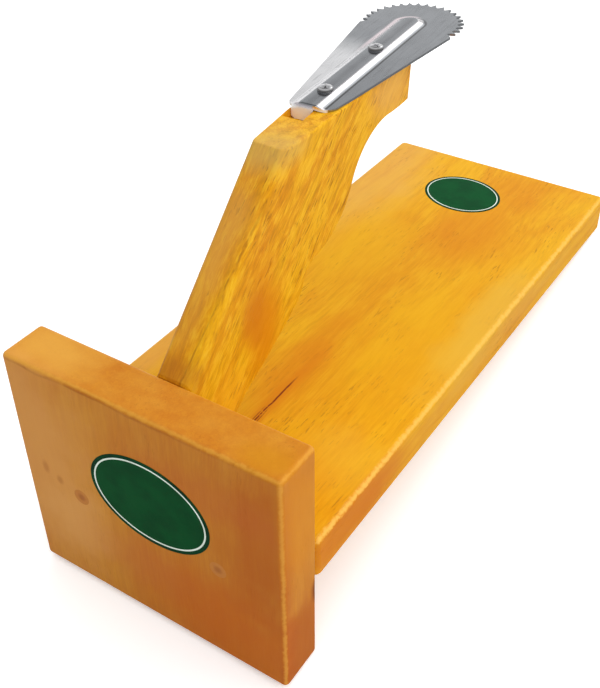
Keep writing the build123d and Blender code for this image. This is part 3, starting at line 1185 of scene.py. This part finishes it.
def oval_band(name, outer, inner, thickness, steps, matrix):
    """A thin oval plate, or an oval ring if it has an inner size, with a small round over."""
    over = 0.3 * thickness
    work = bmesh.new()

    def ring(half, inset, level):
        return ring_of(work, oval(steps, half[0] - inset, half[1] - inset, level))

    shoulder = thickness - over
    rings = [ring(outer, 0.0, 0.0), ring(outer, 0.0, shoulder), ring(outer, over, thickness)]
    if inner:
        rings += [ring(inner, -over, thickness), ring(inner, 0.0, shoulder), ring(inner, 0.0, 0.0)]
        rings.append(rings[0])
    else:
        work.faces.new(reversed(rings[0]))
        work.faces.new(rings[-1])
    for low, high in zip(rings, rings[1:]):
        bridge(work, low, high)
    mesh = finished_mesh(work, name, matrix)
    smooth_by_angle(mesh, 30)
    return linked_object(name, mesh)


# How much thicker the printed ring is than the film
RING_LIFT = 1.12


class SCRAPER_OT_make_labels(bpy.types.Operator):
    """Makes the plain oval labels on the stop board and the plank"""

    bl_idname = "scraper.make_labels"
    bl_label = "Make labels"

    def execute(self, context):
        labels = context.scene.scraper_labels
        rim = film_material("label_rim", tuple(labels.rim), srgb(0, 52, 28))
        green = film_material("label_green", tuple(labels.green), srgb(0, 68, 32))
        ring = film_material("label_ring", tuple(labels.ring), srgb(220, 234, 220))
        upright = Matrix.Rotation(math.radians(90), 4, "X")
        turned = Matrix.Rotation(labels.plank_turn, 4, "Z")
        places = {
            "front_label": (
                Matrix.Translation(labels.front_centre) @ upright,
                (labels.front_half_width, labels.front_half_height),
            ),
            "plank_label": (
                Matrix.Translation(labels.plank_centre) @ turned,
                (labels.plank_half_width, labels.plank_half_height),
            ),
        }
        for name, (matrix, half) in places.items():
            share = half[0] / labels.front_half_width
            near = labels.rim_width * share
            far = near + labels.ring_width * share
            inside = (half[0] - near, half[1] - near)
            field = (half[0] - far, half[1] - far)
            lift = labels.thickness
            bands = [
                (f"{name}_rim", half, inside, lift, rim),
                (f"{name}_ring", inside, field, RING_LIFT * lift, ring),
                (f"{name}_field", field, None, lift, green),
            ]
            for piece_name, outer, inner, thickness, material in bands:
                piece = oval_band(piece_name, outer, inner, thickness, labels.steps, matrix)
                piece.data.materials.append(material)
                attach(piece, BODY)
        return {"FINISHED"}


# The camera's sensor in millimetres, and the nearest and farthest it sees in metres
SENSOR_WIDTH = 36.0
CAMERA_CLIP = (0.01, 50.0)


class SCRAPER_OT_build_stage(bpy.types.Operator):
    """Sets the camera, the pale floor that the scraper leans on, and the soft light"""

    bl_idname = "scraper.build_stage"
    bl_label = "Build stage"

    def execute(self, context):
        stage = context.scene.scraper_stage
        context.scene.view_settings.view_transform = "Standard"
        self.add_camera(context.scene, stage)
        self.add_floor(stage)
        self.add_world(context.scene, stage)
        self.add_key(stage)
        return {"FINISHED"}

    @staticmethod
    def add_camera(scene, stage):
        """The camera at the photograph's angle."""
        data = bpy.data.cameras.new("camera")
        data.lens = stage.lens
        data.sensor_width = SENSOR_WIDTH
        data.clip_start, data.clip_end = CAMERA_CLIP
        camera = linked_object("camera", data)
        forward = Vector(stage.camera_forward).normalized()
        right = Vector(stage.camera_right).normalized()
        up = right.cross(forward)
        turn = Matrix((right, up, -forward)).transposed().to_4x4()
        camera.matrix_world = Matrix.Translation(stage.camera_place) @ turn
        scene.camera = camera

    @staticmethod
    def add_floor(stage):
        """A floor that touches the stop board's lower edge and the plank's far end."""
        reach = PLANK_HIGH.y - STOP_HIGH.y
        drop = PLANK_LOW.z - STOP_LOW.z
        tilt = math.atan2(drop, reach)
        touch = Vector((0.0, PLANK_HIGH.y, PLANK_LOW.z))
        half = stage.floor_size / 2
        mesh = bpy.data.meshes.new("floor")
        work = bmesh.new()
        matrix = Matrix.Translation(touch) @ Matrix.Rotation(tilt, 4, "X")
        bmesh.ops.create_grid(work, x_segments=8, y_segments=8, size=half, matrix=matrix)
        work.to_mesh(mesh)
        work.free()
        floor = linked_object("floor", mesh)
        material, wiring, shader, place = new_material("pale_floor")
        speckle = wiring.ramp(wiring.noise(place, 3.0, 2.0), 0.3, 0.7, 0.6, 0.7)
        wiring.put(shader.inputs["Roughness"], speckle)
        shader.inputs["Specular IOR Level"].default_value = 0.1
        path = wiring.node("ShaderNodeLightPath")
        far = wiring.ramp(wiring.length(place), 0.5, 1.3, stage.floor_mirrored, 1.0)
        shade = wiring.times(path.outputs["Is Glossy Ray"], wiring.minus(1.0, far))
        colour = wiring.mix(shade, tuple(stage.floor), (0.0, 0.0, 0.0))
        wiring.put(shader.inputs["Base Color"], colour)
        lift = wiring.times(path.outputs["Is Camera Ray"], stage.floor_lift)
        wiring.put(shader.inputs["Emission Strength"], lift)
        shader.inputs["Emission Color"].default_value = WHITE
        mesh.materials.append(material)

    @staticmethod
    def add_world(scene, stage):
        """White to the camera, a soft sky for the light, and a studio for the reflections."""
        world = bpy.data.worlds.new("studio")
        world.use_nodes = True
        world.node_tree.nodes.clear()
        wiring = Wiring(world.node_tree)
        path = wiring.node("ShaderNodeLightPath")
        direction = wiring.node("ShaderNodeTexCoord").outputs["Generated"]
        x, y, z = wiring.split(direction)

        overhead = wiring.ramp(z, 0.1, 0.9, 0.0, stage.overhead)
        aside = wiring.ramp(x, -0.2, 0.9, 0.0, stage.right_side)
        behind = wiring.ramp(y, 0.0, 0.9, 0.0, stage.behind)
        sky = wiring.plus(wiring.plus(overhead, aside), behind)
        sky = wiring.plus(sky, stage.ambient)

        studio = stage.reflected
        for azimuth, elevation, wide, narrow, amount in REFLECTION_CARDS:
            heading = math.radians(azimuth)
            rise = math.radians(elevation)
            towards = (
                math.sin(heading) * math.cos(rise),
                math.cos(heading) * math.cos(rise),
                math.sin(rise),
            )
            start, full = (math.cos(math.radians(angle)) for angle in (wide, narrow))
            near = wiring.dot(direction, towards)
            studio = wiring.plus(wiring.ramp(near, start, full, 0.0, amount), studio)

        seen = wiring.node("ShaderNodeBackground")
        lit = wiring.node("ShaderNodeBackground")
        mirrored = wiring.node("ShaderNodeBackground")
        wiring.put(lit.inputs["Strength"], sky)
        wiring.put(mirrored.inputs["Strength"], studio)
        for background in (seen, lit, mirrored):
            background.inputs["Color"].default_value = WHITE
        glossy, camera = path.outputs["Is Glossy Ray"], path.outputs["Is Camera Ray"]
        inputs = (glossy, lit.outputs[0], mirrored.outputs[0])
        unseen = wiring.fed("ShaderNodeMixShader", inputs)
        either = wiring.fed("ShaderNodeMixShader", (camera, unseen.outputs[0], seen.outputs[0]))
        wiring.fed("ShaderNodeOutputWorld", (either.outputs[0],))
        scene.world = world

    @staticmethod
    def add_key(stage):
        """A wide soft light overhead, which no surface mirrors."""
        data = bpy.data.lights.new("key_light", "SUN")
        data.angle = stage.key_spread
        data.energy = stage.key
        light = linked_object("key_light", data)
        turn = Vector(stage.key_direction).to_track_quat("Z", "Y").to_matrix().to_4x4()
        light.matrix_world = turn
        light.visible_glossy = False


# ---------------------------------------------------------------- panel and registration

OPERATORS = (
    SCRAPER_OT_finish_plank,
    SCRAPER_OT_finish_stop_board,
    SCRAPER_OT_finish_neck,
    SCRAPER_OT_finish_fillers,
    SCRAPER_OT_finish_blade,
    SCRAPER_OT_make_blade_screws,
    SCRAPER_OT_finish_hidden_screws,
    SCRAPER_OT_make_labels,
    SCRAPER_OT_build_stage,
)

PROPERTY_GROUPS = {
    "scraper_finishes": ScraperFinishes,
    "scraper_screws": ScraperScrews,
    "scraper_labels": ScraperLabels,
    "scraper_stage": ScraperStage,
}


class SCRAPER_PT_panel(bpy.types.Panel):
    """Lists the scraper's settings and steps"""

    bl_idname = "SCRAPER_PT_panel"
    bl_label = "Coconut scraper"
    bl_space_type = "VIEW_3D"
    bl_region_type = "UI"
    bl_category = "Scraper"

    def draw(self, context):
        for attribute, group in PROPERTY_GROUPS.items():
            box = self.layout.box()
            for name in group.__annotations__:
                box.prop(getattr(context.scene, attribute), name)
        for operator in OPERATORS:
            self.layout.operator(operator.bl_idname)


CLASSES = (*PROPERTY_GROUPS.values(), *OPERATORS, SCRAPER_PT_panel)


def register():
    """Registers the classes and gives the scene its settings."""
    for item in CLASSES:
        bpy.utils.register_class(item)
    for attribute, group in PROPERTY_GROUPS.items():
        setattr(bpy.types.Scene, attribute, PointerProperty(type=group))


def unregister():
    """Takes the settings and the classes away again."""
    for attribute in PROPERTY_GROUPS:
        delattr(bpy.types.Scene, attribute)
    for item in reversed(CLASSES):
        bpy.utils.unregister_class(item)


def main():
    """Builds everything."""
    register()
    bpy.ops.scraper.finish_plank()
    bpy.ops.scraper.finish_stop_board()
    bpy.ops.scraper.finish_neck()
    bpy.ops.scraper.finish_fillers()
    bpy.ops.scraper.finish_blade()
    bpy.ops.scraper.make_blade_screws()
    bpy.ops.scraper.finish_hidden_screws()
    bpy.ops.scraper.make_labels()
    bpy.ops.scraper.build_stage()


if __name__ == "__main__":
    main()
